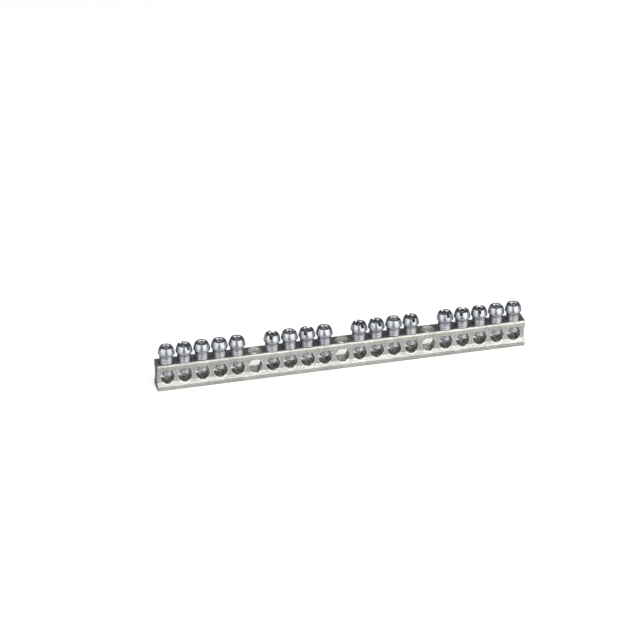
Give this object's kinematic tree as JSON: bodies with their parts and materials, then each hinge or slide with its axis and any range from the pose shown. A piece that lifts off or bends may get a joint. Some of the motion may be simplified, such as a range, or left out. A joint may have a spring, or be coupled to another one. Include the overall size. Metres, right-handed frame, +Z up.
{
  "type": "earth terminal bar",
  "caption": "Straight metal earth terminal bar with cross-drilled wire holes, each clamped from above by a headed screw, and plain mounting holes between the groups.",
  "frame": {"origin": "middle of the bar's underside, on the axis of the middle mounting hole", "axes": "+X along the bar, +Y towards its rear, where the foot is taller, and +Z up along the screws, towards their heads"},
  "size_m": [0.1682, 0.0076, 0.0201],
  "materials": {
    "bar": "satin",
    "screws": "gloss"
  },
  "bodies": {
    "bar": {"terminal_bar": "bar"},
    "screw_01": {"terminal_screw_01": "screws"},
    "screw_02": {"terminal_screw_02": "screws"},
    "screw_03": {"terminal_screw_03": "screws"},
    "screw_04": {"terminal_screw_04": "screws"},
    "screw_05": {"terminal_screw_05": "screws"},
    "screw_07": {"terminal_screw_07": "screws"},
    "screw_08": {"terminal_screw_08": "screws"},
    "screw_09": {"terminal_screw_09": "screws"},
    "screw_10": {"terminal_screw_10": "screws"},
    "screw_12": {"terminal_screw_12": "screws"},
    "screw_13": {"terminal_screw_13": "screws"},
    "screw_14": {"terminal_screw_14": "screws"},
    "screw_15": {"terminal_screw_15": "screws"},
    "screw_17": {"terminal_screw_17": "screws"},
    "screw_18": {"terminal_screw_18": "screws"},
    "screw_19": {"terminal_screw_19": "screws"},
    "screw_20": {"terminal_screw_20": "screws"},
    "screw_21": {"terminal_screw_21": "screws"}
  },
  "joints": [
    {"name": "screw_01_travel", "type": "slide", "parent": "bar", "child": "screw_01", "axis": [0, 0, 1], "range_m": [-0.0028, 0.0029]},
    {"name": "screw_02_travel", "type": "slide", "parent": "bar", "child": "screw_02", "axis": [0, 0, 1], "range_m": [-0.0028, 0.0029]},
    {"name": "screw_03_travel", "type": "slide", "parent": "bar", "child": "screw_03", "axis": [0, 0, 1], "range_m": [-0.0028, 0.0029]},
    {"name": "screw_04_travel", "type": "slide", "parent": "bar", "child": "screw_04", "axis": [0, 0, 1], "range_m": [-0.0028, 0.0029]},
    {"name": "screw_05_travel", "type": "slide", "parent": "bar", "child": "screw_05", "axis": [0, 0, 1], "range_m": [-0.0028, 0.0029]},
    {"name": "screw_07_travel", "type": "slide", "parent": "bar", "child": "screw_07", "axis": [0, 0, 1], "range_m": [-0.0028, 0.0029]},
    {"name": "screw_08_travel", "type": "slide", "parent": "bar", "child": "screw_08", "axis": [0, 0, 1], "range_m": [-0.0028, 0.0029]},
    {"name": "screw_09_travel", "type": "slide", "parent": "bar", "child": "screw_09", "axis": [0, 0, 1], "range_m": [-0.0028, 0.0029]},
    {"name": "screw_10_travel", "type": "slide", "parent": "bar", "child": "screw_10", "axis": [0, 0, 1], "range_m": [-0.0028, 0.0029]},
    {"name": "screw_12_travel", "type": "slide", "parent": "bar", "child": "screw_12", "axis": [0, 0, 1], "range_m": [-0.0028, 0.0029]},
    {"name": "screw_13_travel", "type": "slide", "parent": "bar", "child": "screw_13", "axis": [0, 0, 1], "range_m": [-0.0028, 0.0029]},
    {"name": "screw_14_travel", "type": "slide", "parent": "bar", "child": "screw_14", "axis": [0, 0, 1], "range_m": [-0.0028, 0.0029]},
    {"name": "screw_15_travel", "type": "slide", "parent": "bar", "child": "screw_15", "axis": [0, 0, 1], "range_m": [-0.0028, 0.0029]},
    {"name": "screw_17_travel", "type": "slide", "parent": "bar", "child": "screw_17", "axis": [0, 0, 1], "range_m": [-0.0028, 0.0029]},
    {"name": "screw_18_travel", "type": "slide", "parent": "bar", "child": "screw_18", "axis": [0, 0, 1], "range_m": [-0.0028, 0.0029]},
    {"name": "screw_19_travel", "type": "slide", "parent": "bar", "child": "screw_19", "axis": [0, 0, 1], "range_m": [-0.0028, 0.0029]},
    {"name": "screw_20_travel", "type": "slide", "parent": "bar", "child": "screw_20", "axis": [0, 0, 1], "range_m": [-0.0028, 0.0029]},
    {"name": "screw_21_travel", "type": "slide", "parent": "bar", "child": "screw_21", "axis": [0, 0, 1], "range_m": [-0.0028, 0.0029]}
  ]
}
